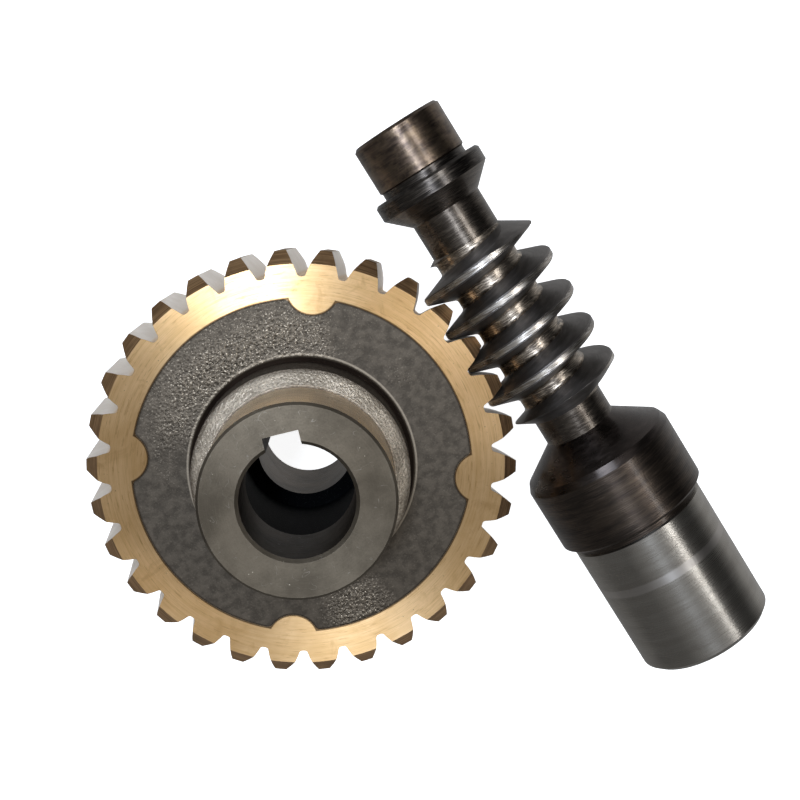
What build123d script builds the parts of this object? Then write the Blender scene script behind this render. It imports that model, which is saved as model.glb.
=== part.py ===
from build123d import *
import math
import os

# Worm gear set, single start, 1:30, right hand, in mesh at its working centre distance.
# Frame: the origin is the middle of the wheel, +Z runs along the wheel's axis, and the worm's
# axis is parallel to Y at x = CENTRE_DISTANCE, with the small bearing journal towards +Y.
# All lengths are in millimetres.

# Tooth system
MODULE = 4.0
TEETH = 30
CENTRE_DISTANCE = 80.0
PRESSURE_ANGLE = math.radians(20)
PITCH_RADIUS = MODULE * TEETH / 2                      # rolling radius of the wheel
WORM_ROLL_RADIUS = CENTRE_DISTANCE - PITCH_RADIUS      # rolling radius of the worm
LEAD = math.pi * MODULE                                # one start, so the lead is one pitch
BASE_RADIUS = PITCH_RADIUS * math.cos(PRESSURE_ANGLE)
HELIX_TAN = MODULE / (2 * WORM_ROLL_RADIUS)            # lean of the wheel's teeth
GAP_HALF_WIDTH = 1.58                                  # half a tooth gap at the rolling radius
BACKLASH_PER_SIDE = 0.08
GAP_PHASE = -3.94                                      # degrees, the gap nearest the worm
CURVE_SPANS = 4                                        # spans that a tooth's curve is drawn in

# Bronze rim
RIM_HALF_WIDTH = 14.0
TIP_RADIUS = 66.5
FACE_EDGE_RADIUS = 62.4
BEVEL_WIDTH = 4.2
GAP_FLOOR_RADIUS = 58.6
GAP_FLOOR_FILLET = 1.0
CUTTER_OVERRUN = 1.5
CORNER_REACH = 0.1                                     # how near a radius a corner is looked for
SEAM_RADIUS = 52.0                                     # where the bronze is cast onto the iron
LOBES = 4
LOBE_CENTRE_RADIUS = 55.0
LOBE_RADIUS = 8.0
LOBE_PHASE = 54.0                                      # degrees, the first lobe
NOTCH_CORNER_RADIUS = 2.2                              # the iron's corners beside each lobe

# Iron hub
WEB_HALF_WIDTH = 13.6
HUB_HALF_LENGTH = 60.0
BOSS_FOOT_RADIUS = 34.6
BOSS_FOOT_FILLET = 1.6
BOSS_TOP_RADIUS = 32.5
BOSS_TOP = 28.5
SHOULDER_RADIUS = 28.2
SHOULDER_TOP = 31.6
SEAT_RADIUS = 27.5
SEAT_CHAMFER = 0.8
BORE_RADIUS = 16.0
BORE_CHAMFER = 1.0
FRONT_LAND_END = 33.5                                  # the front land runs from here to the face
BACK_LAND_END = -20.5
RELIEF_RADIUS = 20.0
RELIEF_SLOPE = 1.0
HUB_KEY_WIDTH = 10.0
HUB_KEY_TOP = 19.3                                     # from the bore's axis
HUB_KEY_ANGLE = 71.0                                   # degrees round from +X

# Worm shaft, stations along its own axis from the crossing point, small end positive
THREAD_TIP_RADIUS = 21.0
THREAD_ROOT_RADIUS = 12.0
CREST_CHAMFER = 0.3
ROOT_FILLET = 1.2
NECK_RADIUS = 11.7
SMALL_END = 72.5
SMALL_JOURNAL_RADIUS = 15.0
SMALL_JOURNAL_INNER = 57.0
UNDERCUT_RADIUS = 14.4
SMALL_COLLAR_RADIUS = 18.5
SMALL_COLLAR_OUTER = 54.4
SMALL_COLLAR_INNER = 49.2
UPPER_NECK_TOP = 42.8
THREAD_TOP_ROOT = 31.0
THREAD_TOP_CREST = 25.2
THREAD_BOTTOM_CREST = -24.2
THREAD_BOTTOM_ROOT = -30.0
LOWER_NECK_BOTTOM = -38.6
LARGE_CONE_RADIUS = 23.8
LARGE_CONE_END = -47.2
LARGE_COLLAR_RADIUS = 25.0
LARGE_COLLAR_TOP = -49.6
LARGE_COLLAR_BOTTOM = -71.0
COLLAR_CHAMFER = 0.8
LARGE_GROOVE_RADIUS = 21.8
LARGE_GROOVE_WIDTH = 2.4
LARGE_JOURNAL_RADIUS = 22.5
LARGE_END = -120.0
JOURNAL_CHAMFER = 1.0
LARGE_END_ROUND = 1.8
CENTRE_HOLE_RADIUS = 4.2
CENTRE_HOLE_HALF_ANGLE = math.radians(30)
CENTRE_HOLE_PILOT_RADIUS = 1.6
CENTRE_HOLE_DEPTH = 8.0
MOTOR_BORE_RADIUS = 12.0
MOTOR_BORE_DEPTH = 56.0
MOTOR_BORE_CHAMFER = 1.0
DRILL_POINT_DEPTH = 7.2
DRILL_TIP_RADIUS = 0.5
MOTOR_KEY_WIDTH = 8.0
MOTOR_KEY_TOP = 15.3
MOTOR_KEY_DEPTH = 52.0

# Gauge ball on the worm's axis, still while both gears turn
DATUM_BALL_RADIUS = 2.0
DATUM_BALL_STATION = LARGE_END + MOTOR_BORE_DEPTH + 3.2


def involute(angle):
    """The involute function of a pressure angle in radians."""
    return math.tan(angle) - angle


def gap_half_angle(radius):
    """Half the angle that a tooth gap spans at a radius of the wheel."""
    at_pitch = GAP_HALF_WIDTH / PITCH_RADIUS
    local = math.acos(BASE_RADIUS / radius)
    return at_pitch + involute(local) - involute(PRESSURE_ANGLE)


def gap_flank(side):
    """Points up one flank of a tooth gap that is centred on +X; side is 1 or -1."""
    step = (TIP_RADIUS + CUTTER_OVERRUN - GAP_FLOOR_RADIUS) / CURVE_SPANS
    radii = [GAP_FLOOR_RADIUS + k * step for k in range(CURVE_SPANS + 1)]
    return [
        (r * math.cos(gap_half_angle(r)), side * r * math.sin(gap_half_angle(r)))
        for r in radii
    ]


def gap_cutter():
    """One tooth gap as a solid: an involute gap turned along the helix of the teeth."""
    left, right = gap_flank(1), gap_flank(-1)
    outline = [
        Line(right[0], left[0]),
        Spline(*left),
        Line(left[-1], right[-1]),
        Spline(*right),
    ]
    section = make_face(Wire(outline))
    floor = [v for v in section.vertices() if v.X < GAP_FLOOR_RADIUS + CORNER_REACH]
    section = fillet(floor, GAP_FLOOR_FILLET)
    half = RIM_HALF_WIDTH + CUTTER_OVERRUN
    twist = math.degrees(HELIX_TAN * 2 * half / PITCH_RADIUS)
    start = Pos(0, 0, -half) * Rot(0, 0, -twist / 2) * section
    return Solid.extrude_linear_with_rotation(
        start.face(), (0, 0, -half), (0, 0, 2 * half), twist
    )


def seam_section():
    """The iron core's outline at the seam: a disc with a round notch for each bronze lobe."""
    notch = Circle(LOBE_RADIUS)
    notches = [
        Rot(0, 0, LOBE_PHASE + k * 360 / LOBES) * Pos(LOBE_CENTRE_RADIUS, 0) * notch
        for k in range(LOBES)
    ]
    disc = Circle(SEAM_RADIUS) - notches
    nearest = SEAM_RADIUS - CORNER_REACH
    corners = [v for v in disc.vertices() if math.hypot(v.X, v.Y) > nearest]
    return fillet(corners, NOTCH_CORNER_RADIUS)


def turned(points, axis=Axis.Z):
    """A turned solid from an outline of (radius, height) points."""
    outline = Polyline(*[(r, 0, z) for r, z in points], close=True)
    return revolve(make_face(outline), axis)


def bronze_rim():
    """The toothed ring, cast onto the iron core, with four lobes that lock it there."""
    half = RIM_HALF_WIDTH
    blank = turned([
        (0, -half),
        (FACE_EDGE_RADIUS, -half),
        (TIP_RADIUS, BEVEL_WIDTH - half),
        (TIP_RADIUS, half - BEVEL_WIDTH),
        (FACE_EDGE_RADIUS, half),
        (0, half),
    ])
    cutter = gap_cutter()
    pitch = 360 / TEETH
    gaps = [Rot(0, 0, GAP_PHASE + k * pitch) * cutter for k in range(TEETH)]
    core = extrude(seam_section(), amount=half + CUTTER_OVERRUN, both=True)
    return blank - gaps - core


def hub_outline():
    """The hub's outside from the seam up to the front face, as (radius, height) points."""
    return [
        (BOSS_FOOT_RADIUS, WEB_HALF_WIDTH),
        (BOSS_FOOT_RADIUS - BOSS_FOOT_FILLET, WEB_HALF_WIDTH + BOSS_FOOT_FILLET),
        (BOSS_TOP_RADIUS, BOSS_TOP),
        (SHOULDER_RADIUS, SHOULDER_TOP),
        (SEAT_RADIUS, SHOULDER_TOP),
        (SEAT_RADIUS, HUB_HALF_LENGTH - SEAT_CHAMFER),
        (SEAT_RADIUS - SEAT_CHAMFER, HUB_HALF_LENGTH),
    ]


def hub_bore():
    """The space inside the hub: two bored lands with a wider cored relief between them."""
    end = HUB_HALF_LENGTH
    mouth = BORE_RADIUS + BORE_CHAMFER
    slope = RELIEF_SLOPE * (RELIEF_RADIUS - BORE_RADIUS)
    return turned([
        (0, -end),
        (mouth, -end),
        (BORE_RADIUS, -end + BORE_CHAMFER),
        (BORE_RADIUS, BACK_LAND_END),
        (RELIEF_RADIUS, BACK_LAND_END + slope),
        (RELIEF_RADIUS, FRONT_LAND_END - slope),
        (BORE_RADIUS, FRONT_LAND_END),
        (BORE_RADIUS, end - BORE_CHAMFER),
        (mouth, end),
        (0, end),
    ])


def key_slot(width, top, length):
    """A straight key slot from the axis out to its floor, along +Z, opening on +X."""
    return Box(top, width, length, align=(Align.MIN, Align.CENTER, Align.MIN))


def iron_hub():
    """The cast iron centre of the wheel, with a bearing seat at each end and a keyed bore."""
    above = hub_outline()
    below = [(r, -z) for r, z in reversed(above)]
    boss = turned([(0, -HUB_HALF_LENGTH), *below, *above, (0, HUB_HALF_LENGTH)])
    web = extrude(seam_section(), amount=WEB_HALF_WIDTH, both=True)
    slot = key_slot(HUB_KEY_WIDTH, HUB_KEY_TOP, 2 * HUB_HALF_LENGTH)
    slot = Rot(0, 0, HUB_KEY_ANGLE) * Pos(0, 0, -HUB_HALF_LENGTH) * slot
    return boss + web - hub_bore() - slot


def thread_ends():
    """The space that the thread stays inside: wide open, with a cone at each end."""
    wide = THREAD_TIP_RADIUS + CUTTER_OVERRUN
    bottom_slope = (THREAD_BOTTOM_CREST - THREAD_BOTTOM_ROOT) / (THREAD_TIP_RADIUS - NECK_RADIUS)
    top_slope = (THREAD_TOP_CREST - THREAD_TOP_ROOT) / (THREAD_TIP_RADIUS - NECK_RADIUS)
    return turned([
        (0, THREAD_BOTTOM_ROOT),
        (NECK_RADIUS, THREAD_BOTTOM_ROOT),
        (wide, THREAD_BOTTOM_CREST + CUTTER_OVERRUN * bottom_slope),
        (wide, THREAD_TOP_CREST + CUTTER_OVERRUN * top_slope),
        (NECK_RADIUS, THREAD_TOP_ROOT),
        (0, THREAD_TOP_ROOT),
    ])


def thread_half_profile():
    """Half of the thread in a plane through the axis, as (radius, half thickness) points.

    It runs from the root floor up the root fillet and the straight flank to the crest.
    """
    slope = math.tan(PRESSURE_ANGLE)

    def half_thickness(radius):
        return GAP_HALF_WIDTH - BACKLASH_PER_SIDE - (radius - WORM_ROLL_RADIUS) * slope

    root = THREAD_ROOT_RADIUS
    fillet_centre = half_thickness(root) + ROOT_FILLET * (1 / math.cos(PRESSURE_ANGLE) - slope)
    turn_step = (math.pi / 2 - PRESSURE_ANGLE) / CURVE_SPANS
    fillet_points = [
        (root + ROOT_FILLET * (1 - math.cos(turn)), fillet_centre - ROOT_FILLET * math.sin(turn))
        for turn in (k * turn_step for k in range(CURVE_SPANS))
    ]
    flank_start = root + ROOT_FILLET * (1 - math.sin(PRESSURE_ANGLE))
    flank_end = THREAD_TIP_RADIUS - CREST_CHAMFER
    flank_step = (flank_end - flank_start) / CURVE_SPANS
    flank_points = [
        (flank_start + k * flank_step, half_thickness(flank_start + k * flank_step))
        for k in range(CURVE_SPANS + 1)
    ]
    crest_edge = (THREAD_TIP_RADIUS, half_thickness(THREAD_TIP_RADIUS) - CREST_CHAMFER)
    return fillet_points, flank_points, crest_edge


def thread_section():
    """The thread cut square to the axis: a round core with one ridge, centred on +X."""

    def around(points, side):
        angles = [side * 2 * math.pi * half / LEAD for _, half in points]
        return [(r * math.cos(a), r * math.sin(a)) for (r, _), a in zip(points, angles)]

    fillet_points, flank, crest_edge = thread_half_profile()
    root_part = [*fillet_points, flank[0]]
    crest = [flank[-1], crest_edge]
    edges = []
    for side in (1, -1):
        edges.append(Spline(*around(root_part, side)))
        edges.append(Spline(*around(flank, side)))
        edges.append(Line(*around(crest, side)))
    top = THREAD_TIP_RADIUS
    edges.append(ThreePointArc(around(crest, 1)[-1], (top, 0), around(crest, -1)[-1]))
    floor = THREAD_ROOT_RADIUS
    edges.append(ThreePointArc(around(root_part, 1)[0], (-floor, 0), around(root_part, -1)[0]))
    return make_face(edges)


def thread():
    """The threaded length, with the thread's middle on the wheel's side at the tooth gap."""
    mesh_station = math.radians(GAP_PHASE) * PITCH_RADIUS
    start = mesh_station - LEAD / 2
    while start > THREAD_BOTTOM_ROOT:
        start -= LEAD
    turns = math.ceil((THREAD_TOP_ROOT - start) / LEAD)
    one_turn = Solid.extrude_linear_with_rotation(
        thread_section().face(), (0, 0, 0), (0, 0, LEAD), 360
    )
    screw = Part() + [Pos(0, 0, start + k * LEAD) * one_turn for k in range(turns)]
    return thread_ends() & screw


def large_end_outline():
    """The shaft from the large end face up to the thread, as (radius, station) points."""
    groove_bottom = LARGE_COLLAR_BOTTOM - LARGE_GROOVE_WIDTH
    return [
        (0, LARGE_END),
        (LARGE_JOURNAL_RADIUS - LARGE_END_ROUND, LARGE_END),
        (LARGE_JOURNAL_RADIUS, LARGE_END + LARGE_END_ROUND),
        (LARGE_JOURNAL_RADIUS, groove_bottom - JOURNAL_CHAMFER / 2),
        (LARGE_GROOVE_RADIUS, groove_bottom),
        (LARGE_GROOVE_RADIUS, LARGE_COLLAR_BOTTOM),
        (LARGE_COLLAR_RADIUS - COLLAR_CHAMFER, LARGE_COLLAR_BOTTOM),
        (LARGE_COLLAR_RADIUS, LARGE_COLLAR_BOTTOM + COLLAR_CHAMFER),
        (LARGE_COLLAR_RADIUS, LARGE_COLLAR_TOP),
        (LARGE_CONE_RADIUS, LARGE_CONE_END),
        (NECK_RADIUS, LOWER_NECK_BOTTOM),
        (NECK_RADIUS, THREAD_BOTTOM_ROOT),
        (0, THREAD_BOTTOM_ROOT),
    ]


def small_end_outline():
    """The shaft from the thread up to the small end face, as (radius, station) points."""
    return [
        (0, THREAD_TOP_ROOT),
        (NECK_RADIUS, THREAD_TOP_ROOT),
        (NECK_RADIUS, UPPER_NECK_TOP),
        (SMALL_COLLAR_RADIUS, SMALL_COLLAR_INNER),
        (SMALL_COLLAR_RADIUS, SMALL_COLLAR_OUTER - COLLAR_CHAMFER),
        (SMALL_COLLAR_RADIUS - COLLAR_CHAMFER, SMALL_COLLAR_OUTER),
        (UNDERCUT_RADIUS, SMALL_COLLAR_OUTER),
        (UNDERCUT_RADIUS, SMALL_JOURNAL_INNER - JOURNAL_CHAMFER / 2),
        (SMALL_JOURNAL_RADIUS, SMALL_JOURNAL_INNER),
        (SMALL_JOURNAL_RADIUS, SMALL_END - JOURNAL_CHAMFER),
        (SMALL_JOURNAL_RADIUS - JOURNAL_CHAMFER, SMALL_END),
        (0, SMALL_END),
    ]


def worm_hollow_end():
    """The blind motor bore with its drill point and key slot, at the large end."""
    mouth = MOTOR_BORE_RADIUS + MOTOR_BORE_CHAMFER
    bottom = LARGE_END + MOTOR_BORE_DEPTH
    bore = turned([
        (0, LARGE_END),
        (mouth, LARGE_END),
        (MOTOR_BORE_RADIUS, LARGE_END + MOTOR_BORE_CHAMFER),
        (MOTOR_BORE_RADIUS, bottom),
        (DRILL_TIP_RADIUS, bottom + DRILL_POINT_DEPTH),
        (0, bottom + DRILL_POINT_DEPTH),
    ])
    return bore + Pos(0, 0, LARGE_END) * key_slot(MOTOR_KEY_WIDTH, MOTOR_KEY_TOP, MOTOR_KEY_DEPTH)


def lathe_centre():
    """The 60 degree centre hole in the small end."""
    cone = CENTRE_HOLE_RADIUS - CENTRE_HOLE_PILOT_RADIUS
    cone_depth = cone / math.tan(CENTRE_HOLE_HALF_ANGLE)
    return turned([
        (0, SMALL_END),
        (CENTRE_HOLE_RADIUS, SMALL_END),
        (CENTRE_HOLE_PILOT_RADIUS, SMALL_END - cone_depth),
        (CENTRE_HOLE_PILOT_RADIUS, SMALL_END - CENTRE_HOLE_DEPTH),
        (0, SMALL_END - CENTRE_HOLE_DEPTH),
    ])


def along_worm(solid):
    """Lays a solid built along Z onto the worm's axis, its +Z end towards +Y."""
    return Pos(CENTRE_DISTANCE, 0, 0) * Rot(-90, 0, 0) * solid


def worm_shaft():
    """The one-piece worm: journals, collars, necks and the thread between them."""
    shaft = turned(large_end_outline()) + thread() + turned(small_end_outline())
    return along_worm(shaft - worm_hollow_end() - lathe_centre())


def datum_ball():
    """A gauge ball on the worm's axis, in the drill point at the end of the motor bore."""
    return along_worm(Pos(0, 0, DATUM_BALL_STATION) * Sphere(DATUM_BALL_RADIUS))


def main():
    os.makedirs("parts", exist_ok=True)
    makers = {
        "bronze_rim": bronze_rim,
        "iron_hub": iron_hub,
        "worm_shaft": worm_shaft,
        "datum_ball": datum_ball,
    }
    for name, maker in makers.items():
        export_step(maker(), f"parts/{name}.step")


main()
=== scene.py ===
import math

import bpy
from mathutils import Matrix, Vector


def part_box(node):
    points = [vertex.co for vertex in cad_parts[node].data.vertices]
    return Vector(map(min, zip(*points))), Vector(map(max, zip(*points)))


# The worm gear set as packed, with its metals, on a pale floor. The scene is in metres. The
# places listed below and the materials count in millimetres.

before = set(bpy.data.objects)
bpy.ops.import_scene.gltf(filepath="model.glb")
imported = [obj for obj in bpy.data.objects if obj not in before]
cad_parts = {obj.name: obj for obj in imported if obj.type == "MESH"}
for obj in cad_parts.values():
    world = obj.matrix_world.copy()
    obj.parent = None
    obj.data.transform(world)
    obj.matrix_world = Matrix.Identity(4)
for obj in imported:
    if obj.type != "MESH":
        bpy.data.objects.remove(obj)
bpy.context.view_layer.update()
MM = 0.001

# ---------------------------------------------------------------- places read from the frame

HUB_LOW, HUB_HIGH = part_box("iron_hub")
WORM_LOW, WORM_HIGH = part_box("worm_shaft")
WORM_X = (WORM_LOW.x + WORM_HIGH.x) / 2 / MM           # the worm's axis
HUB_END = HUB_HIGH.z / MM
SEAM = HUB_HIGH.x / MM                                 # radius where bronze meets iron

# Where one surface of a casting or shaft turns into the next, in millimetres. A REACH is a radius
# with a little room added, or taken off at a tip, so that faces just beside it count too.
TIP_REACH = 66.1                                       # the rim's tooth tips lie outside it
GAP_FLOOR = 58.6
LOBE_CENTRE = 55.0
LOBE_RADIUS = 8.0
LOBE_TURN = math.radians(54.0)

WEB_TOP = 13.6                                         # heights are from the middle of the wheel
WEB_FOOT_RADIUS = 35.1
BOSS_FOOT = 15.4
BOSS_FOOT_REACH = 34.8
BOSS_TOP = 28.5
BOSS_TOP_RADIUS = 32.5
SEAT_START = 31.6
SEAT_RADIUS = 27.5
RELIEF_REACH = 20.6
LAND_REACH = 16.6
BORE_MOUTH = 1.0                                       # depth of the chamfer at the bore's mouth
FACE_EDGE = 1.2                                        # height of the chamfer round the hub's face

SMALL_JOURNAL_FROM = 56.4                              # stations along the worm, small end positive
SMALL_COLLAR_FROM = 49.0
THREAD_FROM, THREAD_TO = -30.2, 31.2
CREST_REACH = 20.75
ROOT_REACH = 12.7
LARGE_CONE_FROM = -38.6
LARGE_COLLAR_FROM = -49.0
LARGE_JOURNAL_FROM = -73.4
WORN_BAND = -88.9                                      # the middle of the journal's pale band

# How a face must lie to count as one of these, as the cosine of its lean.
FLAT = 0.9                                             # square to the axis
SLOPED = 0.5                                           # a bevel
ROUND = 0.97                                           # facing straight out from the axis

QUARTER_TURN = 0.25                                    # of a full turn, as the shader counts it


# ---------------------------------------------------------------- a small helper for node trees

class Nodes:
    """Short calls that add a node to a tree, link its inputs and return its socket."""

    def __init__(self, tree):
        self.tree = tree

    def put(self, socket, value):
        if isinstance(value, bpy.types.NodeSocket):
            self.tree.links.new(value, socket)
        else:
            socket.default_value = value

    def node(self, kind, **settings):
        made = self.tree.nodes.new(kind)
        for key, value in settings.items():
            setattr(made, key, value)
        return made

    def math(self, operation, a, b=0.0, clamp=False):
        made = self.node("ShaderNodeMath", operation=operation, use_clamp=clamp)
        for socket, value in zip(made.inputs, (a, b)):
            self.put(socket, value)
        return made.outputs[0]

    def vector(self, operation, a, b=None, scale=None):
        made = self.node("ShaderNodeVectorMath", operation=operation)
        self.put(made.inputs[0], a)
        if b is not None:
            self.put(made.inputs[1], b)
        if scale is not None:
            self.put(made.inputs["Scale"], scale)
        return made.outputs["Value" if operation in ("LENGTH", "DOT_PRODUCT") else "Vector"]

    def join(self, x, y, z):
        made = self.node("ShaderNodeCombineXYZ")
        for socket, value in zip(made.inputs, (x, y, z)):
            self.put(socket, value)
        return made.outputs[0]

    def split(self, vector):
        made = self.node("ShaderNodeSeparateXYZ")
        self.put(made.inputs[0], vector)
        return made.outputs

    def noise(self, at, scale, detail=3.0, roughness=0.55, distortion=0.0):
        """Cloudy noise about 0.5; scale is in patches per unit of at."""
        made = self.node("ShaderNodeTexNoise")
        self.put(made.inputs["Vector"], at)
        made.inputs["Scale"].default_value = scale
        made.inputs["Detail"].default_value = detail
        made.inputs["Roughness"].default_value = roughness
        made.inputs["Distortion"].default_value = distortion
        return made.outputs[0]

    def spots(self, at, scale):
        """Distance from the nearest of many scattered points."""
        made = self.node("ShaderNodeTexVoronoi")
        self.put(made.inputs["Vector"], at)
        made.inputs["Scale"].default_value = scale
        return made.outputs["Distance"]

    def ramp(self, value, low, high, to_low=0.0, to_high=1.0):
        """value from low..high to to_low..to_high, smooth and held at the ends."""
        made = self.node("ShaderNodeMapRange", interpolation_type="SMOOTHSTEP")
        for socket, number in zip(made.inputs, (value, low, high, to_low, to_high)):
            self.put(socket, number)
        return made.outputs[0]

    def mix(self, share, a, b):
        """Colour a turning into colour b as share goes from 0 to 1."""
        made = self.node("ShaderNodeMix", data_type="RGBA")
        self.put(made.inputs[0], share)
        self.put(made.inputs[6], (*a, 1.0) if isinstance(a, tuple) else a)
        self.put(made.inputs[7], (*b, 1.0) if isinstance(b, tuple) else b)
        return made.outputs[2]

    def tint(self, colour, share, strength, tone):
        """colour taken towards tone by share times strength."""
        return self.mix(self.math("MULTIPLY", share, strength), colour, tone)

    def add(self, *values):
        total = values[0]
        for value in values[1:]:
            total = self.math("ADD", total, value)
        return total


class Finish(Nodes):
    """One material: a Principled shader on the object's own coordinates."""

    def __init__(self, name):
        self.material = bpy.data.materials.new(name)
        self.material.use_nodes = True
        super().__init__(self.material.node_tree)
        self.shader = self.tree.nodes["Principled BSDF"]
        place = self.node("ShaderNodeTexCoord").outputs["Object"]
        self.place_mm = self.vector("SCALE", place, scale=1 / MM)

    def edges(self, radius_mm, gain):
        """1 on sharp edges and 0 elsewhere, from the difference a small rounding makes."""
        rounded = self.node("ShaderNodeBevel", samples=6)
        rounded.inputs["Radius"].default_value = radius_mm * MM
        flat = self.node("ShaderNodeNewGeometry").outputs["Normal"]
        same = self.vector("DOT_PRODUCT", rounded.outputs[0], flat)
        lost = self.math("SUBTRACT", 1.0, same)
        return self.math("MULTIPLY", lost, gain, clamp=True)

    def scratches(self, scale):
        """Hair-thin wandering lines: where a slow noise passes through its middle value."""
        slow = self.noise(self.place_mm, scale, 1.5, 0.5, 2.5)
        off = self.math("ABSOLUTE", self.math("SUBTRACT", slow, 0.5))
        broken = self.ramp(self.noise(self.place_mm, 3 * scale, 2.0), 0.5, 0.6)
        return self.math("MULTIPLY", self.ramp(off, 0.0, 0.008, 1.0, 0.0), broken)

    def bumps(self, *layers):
        """Layers are (height socket, strength, distance in mm), the first one lowest."""
        normal = None
        for height, strength, distance_mm in layers:
            made = self.node("ShaderNodeBump")
            made.inputs["Strength"].default_value = strength
            made.inputs["Distance"].default_value = distance_mm * MM
            self.put(made.inputs["Height"], height)
            if normal is not None:
                self.put(made.inputs["Normal"], normal)
            normal = made.outputs[0]
        self.put(self.shader.inputs["Normal"], normal)

    def finish(self, colour, roughness, metallic=1.0, coat=0.0, coat_roughness=0.1):
        self.put(self.shader.inputs["Base Color"], colour)
        self.put(self.shader.inputs["Roughness"], roughness)
        self.shader.inputs["Metallic"].default_value = metallic
        self.shader.inputs["Coat Weight"].default_value = coat
        self.shader.inputs["Coat Roughness"].default_value = coat_roughness
        return self.material


class Turned(Finish):
    """A finish on a turned surface: it knows the radius, the height and the way round the axis."""

    def __init__(self, name, on_worm=False):
        super().__init__(name)
        self.on_worm = on_worm
        if on_worm:
            centred = self.vector("SUBTRACT", self.place_mm, (WORM_X, 0.0, 0.0))
            self.across, self.height, self.up = self.split(centred)
        else:
            self.across, self.up, self.height = self.split(self.place_mm)
        flat = self.join(self.across, self.up, 0.0)
        self.radius = self.vector("LENGTH", flat)
        self.round_x = self.math("DIVIDE", self.across, self.radius)
        self.round_y = self.math("DIVIDE", self.up, self.radius)

    def brush(self, amount):
        """Stretches reflections across the turning marks, which run round the axis."""
        if self.on_worm:
            way = self.join(self.round_y, 0.0, self.math("MULTIPLY", self.round_x, -1.0))
        else:
            way = self.join(self.math("MULTIPLY", self.round_y, -1.0), self.round_x, 0.0)
        turn = self.node("ShaderNodeVectorTransform", vector_type="VECTOR",
                         convert_from="OBJECT", convert_to="WORLD")
        self.put(turn.inputs[0], way)
        self.put(self.shader.inputs["Tangent"], turn.outputs[0])
        self.shader.inputs["Anisotropic"].default_value = amount
        self.shader.inputs["Anisotropic Rotation"].default_value = QUARTER_TURN

    def marks(self, spacing_mm, length_mm, detail=2.0, by=1.0):
        """Turning marks: noise that changes fast along the profile and slowly round the axis."""
        along = self.add(self.radius, self.math("MULTIPLY", self.height, by))
        along = self.math("DIVIDE", along, spacing_mm)
        reach = SEAM / length_mm
        turn_x = self.math("MULTIPLY", self.round_x, reach)
        turn_y = self.math("MULTIPLY", self.round_y, reach)
        return self.noise(self.join(along, turn_x, turn_y), 1.0, detail, 0.6)


# ---------------------------------------------------------------- bronze

def seam_distance(finish):
    """Millimetres from the seam between bronze and iron, more than 0 on the iron's side."""
    c, s = math.cos(-LOBE_TURN), math.sin(-LOBE_TURN)
    x = finish.vector("DOT_PRODUCT", finish.place_mm, (c, -s, 0.0))
    y = finish.vector("DOT_PRODUCT", finish.place_mm, (s, c, 0.0))
    x, y = finish.math("ABSOLUTE", x), finish.math("ABSOLUTE", y)
    far, near = finish.math("MAXIMUM", x, y), finish.math("MINIMUM", x, y)
    from_lobe = finish.join(finish.math("SUBTRACT", far, LOBE_CENTRE), near, 0.0)
    outside_lobe = finish.math("SUBTRACT", finish.vector("LENGTH", from_lobe), LOBE_RADIUS)
    inside_ring = finish.math("SUBTRACT", SEAM, finish.radius)
    return finish.math("MINIMUM", outside_lobe, inside_ring)


def bronze_face():
    """Turned bronze: golden, with tool streaks round the axis, stains, pits and painted shade along
    the seam.
    """
    f = Turned("bronze_face_turned")
    fine = f.marks(0.16, 9.0)
    broad = f.marks(0.9, 26.0)
    streaks = f.ramp(f.marks(0.55, 5.0, 4.0), 0.56, 0.70)
    cloud = f.noise(f.place_mm, 0.055, 4.0, 0.6)
    stain = f.ramp(f.noise(f.place_mm, 0.10, 5.0, 0.65, 0.8), 0.54, 0.72)
    pits = f.ramp(f.spots(f.place_mm, 0.55), 0.13, 0.05)
    pits = f.math("MULTIPLY", pits, f.ramp(cloud, 0.5, 0.62))
    colour = f.mix(f.ramp(cloud, 0.3, 0.7), (0.68, 0.445, 0.215), (0.84, 0.58, 0.315))
    colour = f.tint(colour, f.ramp(broad, 0.35, 0.7), 0.35, (0.56, 0.34, 0.13))
    colour = f.tint(colour, f.ramp(fine, 0.5, 0.75), 0.5, (0.42, 0.25, 0.09))
    colour = f.tint(colour, streaks, 0.55, (0.38, 0.22, 0.08))
    colour = f.tint(colour, stain, 0.45, (0.40, 0.235, 0.085))
    colour = f.tint(colour, pits, 0.7, (0.16, 0.10, 0.05))
    # painted shade: a dark line along the seam stands in for the shadow in the crevice between
    # bronze and iron
    seam = f.ramp(f.math("ABSOLUTE", seam_distance(f)), 0.15, 0.55, 1.0, 0.0)
    colour = f.tint(colour, seam, 0.9, (0.07, 0.04, 0.02))
    edge = f.edges(0.30, 2.5)
    colour = f.tint(colour, edge, 0.75, (0.20, 0.11, 0.045))
    roughness = f.add(f.ramp(fine, 0.3, 0.7, 0.34, 0.42), f.math("MULTIPLY", stain, 0.06))
    f.brush(0.86)
    f.bumps((broad, 0.10, 0.10), (fine, 0.30, 0.05), (streaks, -0.20, 0.06), (pits, -0.4, 0.10))
    return f.finish(colour, roughness)


def bronze_bevel():
    """The turned bevels on the teeth: darker than the faces, with clear tool lines."""
    f = Turned("bronze_bevel_turned")
    lines = f.marks(0.22, 14.0, 1.5, by=0.0)
    cloud = f.noise(f.place_mm, 0.12, 4.0, 0.6)
    colour = f.mix(f.ramp(lines, 0.35, 0.65), (0.42, 0.245, 0.125), (0.70, 0.455, 0.245))
    colour = f.tint(colour, f.ramp(cloud, 0.45, 0.7), 0.5, (0.30, 0.19, 0.10))
    edge = f.edges(0.35, 2.5)
    colour = f.tint(colour, edge, 0.55, (0.88, 0.66, 0.40))
    roughness = f.ramp(lines, 0.3, 0.7, 0.34, 0.5)
    f.bumps((lines, 0.35, 0.08))
    return f.finish(colour, roughness)


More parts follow.
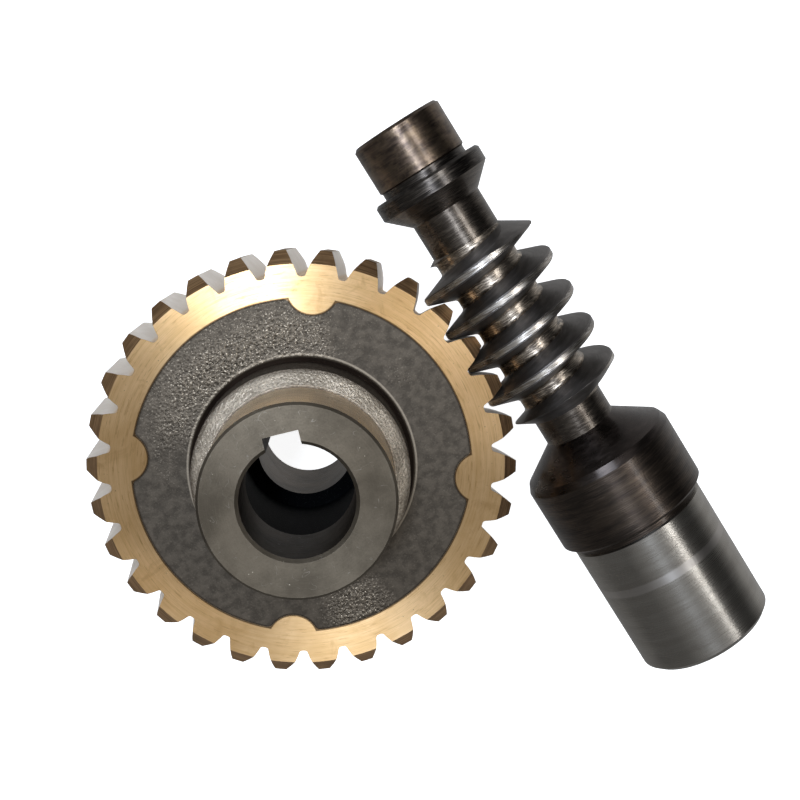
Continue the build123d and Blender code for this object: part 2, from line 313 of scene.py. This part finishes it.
def bronze_flank():
    """Hobbed flanks: pale as a painted reflection of white surroundings, smooth, golden at the
    foot, with faint feed marks along the tooth.
    """
    f = Turned("bronze_flank_hobbed")
    feed = f.noise(f.join(f.math("MULTIPLY", f.height, 0.5), f.radius, 0.0), 2.6, 2.0)
    cloud = f.noise(f.place_mm, 0.2, 4.0, 0.6)
    # painted reflection: the pale, nearly white colour stands in for the white surroundings that
    # the flanks mirror
    colour = f.mix(f.ramp(cloud, 0.35, 0.7), (0.83, 0.765, 0.69), (0.91, 0.86, 0.80))
    colour = f.tint(colour, f.ramp(feed, 0.45, 0.7), 0.15, (0.78, 0.66, 0.52))
    foot = f.ramp(f.radius, GAP_FLOOR + 0.3, GAP_FLOOR + 1.5, 1.0, 0.0)
    colour = f.tint(colour, foot, 0.75, (0.70, 0.50, 0.28))
    edge = f.edges(0.22, 3.0)
    colour = f.tint(colour, edge, 0.45, (0.35, 0.22, 0.12))
    f.bumps((feed, 0.12, 0.05), (cloud, 0.10, 0.10))
    return f.finish(colour, f.ramp(cloud, 0.3, 0.7, 0.30, 0.42), metallic=0.45)


def bronze_tip():
    """The turned tooth tips: brown, with tool lines and worn edges."""
    f = Turned("bronze_tip_turned")
    lines = f.marks(0.3, 12.0)
    colour = f.mix(f.ramp(lines, 0.35, 0.65), (0.34, 0.23, 0.12), (0.58, 0.42, 0.24))
    edge = f.edges(0.3, 2.5)
    colour = f.tint(colour, edge, 0.5, (0.75, 0.58, 0.36))
    f.bumps((lines, 0.3, 0.06))
    return f.finish(colour, f.ramp(lines, 0.3, 0.7, 0.3, 0.42))


# ---------------------------------------------------------------- iron

def sand_skin(f, coarse_mm):
    """The skin of a sand casting as (height, sparkle): grains a fraction of a millimetre wide, with
    sparkle marking the grains that are given painted glints.
    """
    grain = f.noise(f.place_mm, 1 / coarse_mm, 5.0, 0.72)
    cells = f.spots(f.place_mm, 1.1 / coarse_mm)
    height = f.add(grain, f.math("MULTIPLY", cells, 0.5))
    sparkle = f.ramp(f.noise(f.place_mm, 2.2 / coarse_mm, 2.0, 0.5), 0.60, 0.72)
    return height, sparkle


# the lean also spreads the web's painted glints towards the lamps, on the lit side
GRAIN_AND_GLINT_LEAN = (0.0, 0.0135, 0.0)                        # the web gets rougher this way, per mm
GRAIN_PATCH_AT = (-10.0, -47.5, WEB_TOP)               # one more rough patch, beside a lobe


def iron_web():
    """Sand-cast iron: coarse grains with painted glints on one side and in a patch, else a mottled
    skin, with a painted highlight line at the foot and painted shade along the seam.
    """
    f = Turned("iron_web_sand_cast")
    lean = f.vector("DOT_PRODUCT", f.place_mm, GRAIN_AND_GLINT_LEAN)
    local = f.vector("LENGTH", f.vector("SUBTRACT", f.place_mm, GRAIN_PATCH_AT))
    patch = f.add(f.noise(f.place_mm, 0.045, 3.0, 0.5), lean)
    inner = f.ramp(f.radius, 40.0, 51.0, 1.0, 0.35)
    upper = f.math("MULTIPLY", f.ramp(patch, 0.72, 1.20, 0.05, 1.0), inner)
    rough = f.math("MAXIMUM", upper, f.ramp(local, 3.0, 15.0, 0.85, 0.05))
    grain = f.noise(f.place_mm, 1.15, 3.0, 0.6)
    cells = f.spots(f.place_mm, 1.0)
    height = f.add(grain, f.math("MULTIPLY", cells, 0.6))
    mottle = f.noise(f.place_mm, 0.35, 4.0, 0.6)
    colour = f.mix(f.ramp(height, 0.50, 1.05), (0.0621, 0.0512, 0.0387), (0.177, 0.148, 0.113))
    smooth = f.mix(f.ramp(mottle, 0.35, 0.65), (0.0659, 0.0546, 0.0424), (0.111, 0.0924, 0.0719))
    colour = f.mix(rough, smooth, colour)
    # painted glints: bright specks on the rough grain, where the lamps catch it
    sparkle = f.ramp(f.noise(f.place_mm, 1.9, 2.0, 0.5), 0.59, 0.69)
    colour = f.tint(colour, sparkle, rough, (0.728, 0.63, 0.499))
    # painted highlight: a pale line at the web's foot stands in for the edge catching the light
    from_foot = f.math("ABSOLUTE", f.math("SUBTRACT", f.radius, WEB_FOOT_RADIUS))
    foot = f.ramp(from_foot, 0.1, 0.45, 1.0, 0.0)
    colour = f.tint(colour, foot, 0.7, (0.407, 0.345, 0.267))
    # painted shade: a dark line along the seam stands in for the shadow in the crevice between iron
    # and bronze
    seam = f.ramp(f.math("ABSOLUTE", seam_distance(f)), 0.15, 0.7, 1.0, 0.0)
    colour = f.tint(colour, seam, 0.8, (0.0321, 0.0236, 0.0155))
    roughness = f.ramp(rough, 0.0, 1.0, 0.56, 0.42)
    relief = f.math("MULTIPLY", height, rough)
    f.bumps((mottle, 0.30, 0.35), (relief, 0.90, 0.42))
    return f.finish(colour, roughness, metallic=0.8)


def iron_shoulder():
    """The rough cone between the boss and the seat: bright grains, their brightness partly painted
    light, with painted glints, and painted shade towards its edges.
    """
    f = Turned("iron_shoulder_cast")
    height, sparkle = sand_skin(f, 0.9)
    cloud = f.noise(f.place_mm, 0.11, 4.0, 0.6)
    # the cone's pale colour is partly painted light, for the side lit from above
    colour = f.mix(f.ramp(height, 0.45, 1.05), (0.60, 0.52, 0.42), (0.98, 0.87, 0.725))
    colour = f.tint(colour, f.ramp(cloud, 0.45, 0.65), 0.45, (0.278, 0.231, 0.176))
    # painted glints on the sparkling grains
    colour = f.tint(colour, sparkle, 0.9, (1, 0.906, 0.74))
    # painted shade: darker at the outer edge, beside the boss's shaded wall
    outer = f.ramp(f.radius, BOSS_TOP_RADIUS - 1.9, BOSS_TOP_RADIUS + 0.1)
    colour = f.tint(colour, outer, 0.75, (0.091, 0.067, 0.0482))
    # painted shade: darker in the crease where the cone meets the seat
    low = f.ramp(f.radius, SEAT_RADIUS, SEAT_RADIUS + 1.2, 1.0, 0.0)
    colour = f.tint(colour, low, 0.8, (0.0535, 0.0374, 0.0258))
    f.bumps((cloud, 0.25, 0.5), (height, 0.8, 0.30))
    return f.finish(colour, 0.46, metallic=0.9)


def iron_boss():
    """The boss's wall and the slope at its foot: dark brown, the darkness painted shade for the
    shadowed band round the hub, smeared, with a pale painted highlight line where the slope meets
    the web.
    """
    f = Turned("iron_boss_wall")
    smear = f.marks(1.4, 30.0, 3.0)
    grain = f.noise(f.place_mm, 1.6, 4.0, 0.65)
    # painted shade: the wall's near-black brown stands in for the shadowed band round the hub
    colour = f.mix(f.ramp(smear, 0.3, 0.7), (0.0321, 0.0227, 0.0189), (0.0663, 0.0493, 0.0396))
    # painted highlight: a pale line at the slope's foot, where it meets the web
    low = f.ramp(f.math("ABSOLUTE", f.height), WEB_TOP + 0.1, WEB_TOP + 0.5, 1.0, 0.0)
    colour = f.tint(colour, low, 0.5, (0.364, 0.305, 0.232))
    f.bumps((smear, 0.15, 0.2), (grain, 0.35, 0.14))
    return f.finish(colour, f.ramp(grain, 0.3, 0.7, 0.40, 0.55))


def iron_seat():
    """The turned bearing seat: bright, with fine marks round it and a darker brown line at its
    foot.
    """
    f = Turned("iron_seat_turned")
    fine = f.marks(0.14, 20.0)
    broad = f.marks(2.4, 40.0)
    colour = f.mix(f.ramp(broad, 0.3, 0.7), (0.642, 0.537, 0.396), (0.813, 0.69, 0.516))
    colour = f.tint(colour, f.ramp(fine, 0.45, 0.7), 0.4, (0.161, 0.128, 0.0946))
    side = f.math("ABSOLUTE", f.height)
    # darker brown along the seat's foot, next to the cone
    base = f.ramp(side, SEAT_START + 0.2, SEAT_START + 0.9, 1.0, 0.0)
    colour = f.tint(colour, base, 0.7, (0.428, 0.276, 0.12))
    edge = f.edges(0.4, 2.0)
    colour = f.tint(colour, edge, 0.6, (0.535, 0.463, 0.361))
    f.brush(0.5)
    f.bumps((fine, 0.25, 0.04))
    return f.finish(colour, f.ramp(fine, 0.3, 0.7, 0.26, 0.36))


def iron_face():
    """The faced end of the hub: grey-brown, with specks, hair scratches and nicks on its edges."""
    f = Turned("iron_end_faced")
    fine = f.marks(0.22, 14.0)
    cloud = f.noise(f.place_mm, 0.07, 5.0, 0.62)
    grain = f.noise(f.place_mm, 1.9, 4.0, 0.7)
    specks = f.ramp(f.spots(f.place_mm, 0.42), 0.075, 0.035)
    specks = f.math("MULTIPLY", specks, f.ramp(f.noise(f.place_mm, 0.3, 2.0), 0.48, 0.6))
    colour = f.mix(f.ramp(cloud, 0.3, 0.7), (0.102, 0.0857, 0.0645), (0.177, 0.15, 0.114))
    colour = f.tint(colour, f.ramp(grain, 0.5, 0.75), 0.35, (0.107, 0.0886, 0.0688))
    colour = f.tint(colour, f.ramp(fine, 0.5, 0.75), 0.1, (0.289, 0.241, 0.181))
    colour = f.tint(colour, specks, 0.8, (0.663, 0.591, 0.473))
    uneven = f.ramp(f.noise(f.place_mm, 0.25, 4.0, 0.7), 0.4, 0.62, 0.15, 1.0)
    nicks = f.math("MULTIPLY", f.edges(0.45, 2.2), uneven)
    colour = f.tint(colour, nicks, 0.75, (0.535, 0.463, 0.361))
    colour = f.tint(colour, f.scratches(0.10), 0.35, (0.42, 0.39, 0.34))
    f.brush(0.35)
    f.bumps((fine, 0.07, 0.04), (cloud, 0.20, 0.30), (grain, 0.25, 0.08))
    return f.finish(colour, f.ramp(grain, 0.3, 0.7, 0.46, 0.58))


def iron_land():
    """The bore's lands and keyway walls: dark, with specks and hair scratches."""
    f = Turned("iron_bore_land")
    fine = f.marks(0.2, 18.0)
    specks = f.ramp(f.spots(f.place_mm, 0.5), 0.10, 0.05)
    specks = f.math("MULTIPLY", specks, f.ramp(f.noise(f.place_mm, 0.2, 2.0), 0.5, 0.62))
    cloud = f.noise(f.place_mm, 0.1, 4.0)
    colour = f.mix(f.ramp(cloud, 0.3, 0.7), (0.0749, 0.0591, 0.0447), (0.139, 0.11, 0.0843))
    colour = f.tint(colour, specks, 0.7, (0.514, 0.453, 0.378))
    colour = f.tint(colour, f.scratches(0.22), 0.7, (0.42, 0.40, 0.40))
    f.bumps((fine, 0.25, 0.04))
    return f.finish(colour, f.ramp(fine, 0.3, 0.7, 0.32, 0.45))


def iron_relief():
    """The cored hollow inside the bore: nearly black as painted shade, with a few grains given
    painted glints.
    """
    f = Turned("iron_bore_relief_cast")
    height, sparkle = sand_skin(f, 1.0)
    # painted shade: the near-black colour stands in for the shadow in the hollow; painted glints on
    # a few grains
    colour = f.mix(f.math("MULTIPLY", sparkle, 0.35), (0.012, 0.013, 0.015), (0.12, 0.13, 0.13))
    f.bumps((height, 0.4, 0.20))
    return f.finish(colour, 0.65)


# ---------------------------------------------------------------- steel

LINE_GAIN, WORN_GAIN = 2.4, 2.8                        # how much lighter tool lines and edges are


def lighter(colour, gain):
    return tuple(min(1.0, gain * channel) for channel in colour)


def worm_dark(name, spacing_mm, light, dark, line=0.35, low=0.24, high=0.38, worn=0.55):
    """Oiled black-brown steel, turned, as (finish, colour, roughness, layers for its bumps).

    line is how clear the tool lines are, low and high are roughness, worn is how bare edges are.
    """
    f = Turned(name, on_worm=True)
    fine = f.marks(spacing_mm, 14.0)
    broad = f.marks(2.2, 34.0)
    cloud = f.noise(f.place_mm, 0.16, 4.0, 0.62)
    colour = f.mix(f.ramp(broad, 0.32, 0.68), dark, light)
    colour = f.tint(colour, f.ramp(fine, 0.48, 0.7), line, lighter(light, LINE_GAIN))
    colour = f.tint(colour, f.ramp(cloud, 0.52, 0.7), 0.4, dark)
    edge = f.math("MULTIPLY", f.edges(0.3, 2.2), f.ramp(cloud, 0.3, 0.6, 0.4, 1.0))
    colour = f.tint(colour, edge, worn, lighter(light, WORN_GAIN))
    roughness = f.add(f.ramp(fine, 0.3, 0.7, low, high), f.ramp(cloud, 0.45, 0.75, 0.0, 0.06))
    f.brush(0.65)
    return f, colour, roughness, ((broad, 0.08, 0.12), (fine, 0.35, 0.05))


def worm_plain(name, *args, **kinds):
    """Oiled steel with its tool marks and nothing more, under a thin film of oil."""
    f, colour, roughness, layers = worm_dark(name, *args, **kinds)
    f.bumps(*layers)
    return f.finish(colour, roughness, coat=0.25, coat_roughness=0.12)


TOOL_LINE_PITCH = 0.62


def worm_collar():
    """The large collar: dark, with pits in patches and fine, even tool lines."""
    f, colour, roughness, _ = worm_dark("worm_collar_turned", 0.30, (0.085, 0.066, 0.052),
                                        (0.045, 0.036, 0.031), line=0.25, low=0.30, high=0.42)
    pits = f.ramp(f.spots(f.place_mm, 0.7), 0.16, 0.06)
    pits = f.math("MULTIPLY", pits, f.ramp(f.noise(f.place_mm, 0.09, 2.0), 0.5, 0.6))
    colour = f.tint(colour, pits, 0.75, (0.012, 0.010, 0.010))
    thread = f.math("SINE", f.math("MULTIPLY", f.height, 2 * math.pi / TOOL_LINE_PITCH))
    f.bumps((thread, 0.30, 0.05), (pits, -0.6, 0.12))
    return f.finish(colour, roughness, coat=0.2, coat_roughness=0.15)


def worm_small_journal():
    """The small journal: browned by heat and oil, with blotches of painted golden highlight."""
    f, colour, roughness, _ = worm_dark("worm_small_journal", 0.25, (0.20, 0.150, 0.112),
                                        (0.062, 0.046, 0.038), line=0.2, low=0.28, high=0.38)
    gold_highlight_blotch = f.ramp(f.noise(f.place_mm, 0.35, 5.0, 0.7), 0.45, 0.62)
    # painted highlight: golden blotches stand in for the light's golden gleam on the journal
    colour = f.tint(colour, gold_highlight_blotch, 0.45, (0.23, 0.175, 0.115))
    pits = f.ramp(f.spots(f.place_mm, 0.6), 0.10, 0.05)
    colour = f.tint(colour, pits, 0.5, (0.02, 0.016, 0.014))
    f.bumps((gold_highlight_blotch, 0.15, 0.06), (pits, -0.5, 0.1))
    return f.finish(colour, roughness, coat=0.2, coat_roughness=0.15)


def worm_large_journal():
    """The ground journal: silver-grey, with a paler worn band and fine scratches round it."""
    f = Turned("worm_large_journal_ground", on_worm=True)
    fine = f.marks(0.10, 24.0)
    broad = f.marks(3.0, 60.0)
    cloud = f.noise(f.place_mm, 0.12, 5.0, 0.65)
    colour = f.mix(f.ramp(broad, 0.3, 0.7), (0.32, 0.300, 0.272), (0.37, 0.352, 0.322))
    colour = f.tint(colour, f.ramp(cloud, 0.5, 0.72), 0.35, (0.22, 0.205, 0.19))
    colour = f.tint(colour, f.ramp(fine, 0.5, 0.72), 0.18, (0.60, 0.58, 0.54))
    off = f.math("ABSOLUTE", f.math("SUBTRACT", f.height, WORN_BAND))
    band = f.ramp(f.add(off, f.math("MULTIPLY", cloud, 0.5)), 1.4, 1.9, 1.0, 0.0)
    colour = f.tint(colour, band, 0.5, (0.55, 0.52, 0.50))
    f.brush(0.7)
    f.bumps((cloud, 0.05, 0.2), (fine, 0.16, 0.03))
    roughness = f.add(f.ramp(fine, 0.3, 0.7, 0.25, 0.33), f.math("MULTIPLY", band, 0.08))
    return f.finish(colour, roughness)


# ---------------------------------------------------------------- which face gets which finish

def face_facts(polygon, centre_x, along_worm):
    """(radius, height, outward part, axial part) of one face, in millimetres, round its axis."""
    centre, normal = polygon.center / MM, polygon.normal
    if along_worm:
        flat = Vector((centre.x - centre_x, centre.z))
        height, axial = centre.y, normal.y
        flat_normal = Vector((normal.x, normal.z))
    else:
        flat, height, axial = Vector((centre.x, centre.y)), centre.z, normal.z
        flat_normal = Vector((normal.x, normal.y))
    outward = flat_normal.dot(flat.normalized()) if flat.length > 0 else 0.0
    return flat.length, height, outward, axial


def rim_part(radius, height, outward, axial):
    if abs(axial) > FLAT:
        return "face"
    if abs(axial) > SLOPED:
        return "bevel"
    if radius > TIP_REACH and outward > ROUND:
        return "tip"
    return "flank"


def bore_part(radius, outward, axial):
    """The lands and the keyway's walls are machined, and the rest of the bore is as cast."""
    machined = radius < LAND_REACH or outward > -FLAT
    return "land" if machined and abs(axial) < SLOPED else "relief"


def hub_part(radius, height, outward, axial):
    side = abs(height)
    if radius < RELIEF_REACH and side < HUB_END - BORE_MOUTH:
        return bore_part(radius, outward, axial)
    if side > HUB_END - FACE_EDGE:
        return "face"
    if side > SEAT_START + 0.05:
        return "seat"
    if side > BOSS_TOP:
        return "shoulder"
    if side > BOSS_FOOT or radius < BOSS_FOOT_REACH:
        return "boss"
    return "web"


def thread_part(radius, outward):
    if radius > CREST_REACH and outward > ROUND:
        return "crest"
    return "root" if radius < ROOT_REACH else "thread"


# The worm's bands from its small end down, each with the station where it starts.
WORM_BANDS = (
    ("small_journal", SMALL_JOURNAL_FROM),
    ("small_collar", SMALL_COLLAR_FROM),
    ("neck", THREAD_TO),
    ("threaded", THREAD_FROM),
    ("neck", LARGE_CONE_FROM),
    ("cone", LARGE_COLLAR_FROM),
    ("collar", LARGE_JOURNAL_FROM),
)


def worm_part(radius, height, outward, axial):
    for band, start in WORM_BANDS:
        if height > start:
            return thread_part(radius, outward) if band == "threaded" else band
    return "large_journal"


def dress(node, finishes, part_of, centre_x=0.0, along_worm=False):
    """Gives each face of a CAD node the finish of the part it belongs to."""
    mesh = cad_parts[node].data
    mesh.materials.clear()
    places = {}
    for part, material in finishes.items():
        places[part] = len(mesh.materials)
        mesh.materials.append(material)
    for polygon in mesh.polygons:
        polygon.material_index = places[part_of(*face_facts(polygon, centre_x, along_worm))]


dress("bronze_rim", {
    "face": bronze_face(),
    "bevel": bronze_bevel(),
    "flank": bronze_flank(),
    "tip": bronze_tip(),
}, rim_part)
dress("iron_hub", {
    "web": iron_web(),
    "shoulder": iron_shoulder(),
    "boss": iron_boss(),
    "seat": iron_seat(),
    "face": iron_face(),
    "land": iron_land(),
    "relief": iron_relief(),
}, hub_part)
dress("worm_shaft", {
    "small_journal": worm_small_journal(),
    "small_collar": worm_plain("worm_small_collar", 0.35, (0.075, 0.066, 0.058),
                               (0.032, 0.028, 0.026), line=0.6),
    "neck": worm_plain("worm_neck", 0.30, (0.125, 0.107, 0.090), (0.060, 0.050, 0.042)),
    "thread": worm_plain("worm_flank", 0.5, (0.200, 0.187, 0.179), (0.122, 0.112, 0.106),
                         line=0.15, low=0.40, high=0.50),
    # partly painted highlight: the pale, warm root colour and its clear tool lines stand in for the
    # lamp's golden sheen along the root
    "root": worm_plain("worm_root", 0.28, (0.36, 0.310, 0.255), (0.150, 0.127, 0.106),
                       line=0.8, worn=0.1),
    "crest": worm_plain("worm_crest", 0.22, (0.52, 0.475, 0.420), (0.26, 0.232, 0.200), line=0.7),
    "cone": worm_plain("worm_cone", 0.4, (0.075, 0.061, 0.055), (0.045, 0.037, 0.034), line=0.2),
    "collar": worm_collar(),
    "large_journal": worm_large_journal(),
}, worm_part, WORM_X, True)
dress("datum_ball", {"ball": worm_plain("datum_steel", 0.3, (0.3, 0.3, 0.3), (0.2, 0.2, 0.2))},
      lambda *facts: "ball")


# ---------------------------------------------------------------- floor, light and camera

FLOOR_SIZE = 6.0
FLOOR_GAP = 1.0 * MM                                   # from the hub's lower face to the floor
FLOOR_GREY, FLOOR_GLOW = 0.93, 0.92

DAYLIGHT = (0.90, 1.0, 1.15)                           # a little blue beside the lamps' white
WHITE = (1.0, 1.0, 1.0)
WHEEL_AT, WORM_AT = (0.0, 0.0, 0.0), (0.08, -0.02, 0.0)

# Grey levels of the room: overhead, at the horizon, and what the bench adds below the horizon,
# all round and to the right.
CEILING_GREY, WALL_GREY = 0.38, 0.16
BENCH_GREY, LIT_BENCH_GREY = 0.08, 0.25
DARK_WALL_SHADE = 0.7                                  # the share of light that the low right loses


def pale_floor():
    bpy.ops.mesh.primitive_plane_add(size=FLOOR_SIZE, location=(0, 0, HUB_LOW.z - FLOOR_GAP))
    floor = bpy.context.object
    floor.name = "floor"
    material = bpy.data.materials.new("floor_paper")
    material.use_nodes = True
    shader = material.node_tree.nodes["Principled BSDF"]
    shader.inputs["Base Color"].default_value = (FLOOR_GREY, FLOOR_GREY, FLOOR_GREY, 1)
    shader.inputs["Roughness"].default_value = 0.9
    shader.inputs["Specular IOR Level"].default_value = 0.0
    shader.inputs["Emission Color"].default_value = (1, 1, 1, 1)
    shader.inputs["Emission Strength"].default_value = FLOOR_GLOW
    floor.data.materials.append(material)
    floor.visible_glossy = False                       # the metals mirror a dim room, not the floor


def facing(at, toward, along):
    """Where a light or camera stands to look from at to toward, with its top nearest to along."""
    back = (Vector(at) - Vector(toward)).normalized()
    across = Vector(along).cross(back).normalized()
    turn = Matrix((across, back.cross(across), back)).transposed().to_4x4()
    return Matrix.Translation(at) @ turn


def soft_light(name, at, toward, along, size, watts, colour):
    """A rectangular light; size is (width, length), and along is the direction of its length."""
    light = bpy.data.lights.new(name, "AREA")
    light.shape = "RECTANGLE"
    light.size, light.size_y = size
    light.energy = watts
    light.color = colour
    made = bpy.data.objects.new(name, light)
    bpy.context.scene.collection.objects.link(made)
    made.matrix_world = facing(at, toward, along)


# name, place, what it points at, direction of its length, (width, length), watts and colour
LIGHTS = (
    ("key", (-0.017, 0.209, 1.0), WHEEL_AT, (0, 1, 0), (0.10, 0.10), 3.4, DAYLIGHT),
    ("window", (0.0, 0.58, 0.93), WHEEL_AT, (1, 0, 0), (0.35, 0.5), 3.0, DAYLIGHT),
    ("tube", (0.46, 0.0, 0.92), WORM_AT, (0.20, -0.40, 0.0), (0.15, 0.40), 1.6, WHITE),
    ("far_tube", (0.64, -0.44, 0.90), WORM_AT, (0.40, -0.60, 0.0), (0.09, 0.34), 0.8, WHITE),
)


def studio():
    """A small key over the wheel, a window beyond it, and two tube lamps over the worm's right."""
    for light in LIGHTS:
        soft_light(*light)


def room():
    """What the metals mirror: a dim room, darkest low on the right, with a pale bench below.

    x and z are parts of a unit direction, so z is 0 at the horizon and 1 overhead.
    """
    world = bpy.data.worlds.new("room")
    bpy.context.scene.world = world
    world.use_nodes = True
    sky = Nodes(world.node_tree)
    x, _, z = sky.split(sky.node("ShaderNodeTexCoord").outputs["Generated"])
    ceiling = sky.ramp(z, 0.55, 1.0, WALL_GREY, CEILING_GREY)
    bench = sky.ramp(z, -0.1, -0.5, 0.0, BENCH_GREY)
    lit_bench = sky.math("MULTIPLY", sky.ramp(x, 0.0, 0.7, 0.0, LIT_BENCH_GREY),
                         sky.ramp(z, 0.0, -0.4))
    dark_wall = sky.math("MULTIPLY", sky.ramp(x, 0.5, 0.8), sky.ramp(z, 0.0, 0.15))
    shade = sky.math("SUBTRACT", 1.0, sky.math("MULTIPLY", dark_wall, DARK_WALL_SHADE))
    grey = sky.math("MULTIPLY", sky.add(ceiling, bench, lit_bench), shade)
    sky.put(sky.tree.nodes["Background"].inputs["Color"], sky.join(grey, grey, grey))


CAMERA_AT = Vector((51.7, 58.8, 385.5)) * MM
CAMERA_LOOKS_AT = Vector((35.9, -0.5, 0.0)) * MM
CAMERA_UP_TURN = math.radians(57.75)                   # which way on the floor is up in the frame
CAMERA_LENS = 55.4
CAMERA_CLIP = 0.01


def camera():
    """Looks down on the set, leaning a little from the worm's small end."""
    lens = bpy.data.cameras.new("camera")
    lens.lens = CAMERA_LENS
    lens.clip_start = CAMERA_CLIP
    made = bpy.data.objects.new("camera", lens)
    bpy.context.scene.collection.objects.link(made)
    up = (math.cos(CAMERA_UP_TURN), math.sin(CAMERA_UP_TURN), 0.0)
    made.matrix_world = facing(CAMERA_AT, CAMERA_LOOKS_AT, up)
    bpy.context.scene.camera = made


pale_floor()
studio()
room()
camera()
bpy.context.scene.view_settings.view_transform = "Standard"
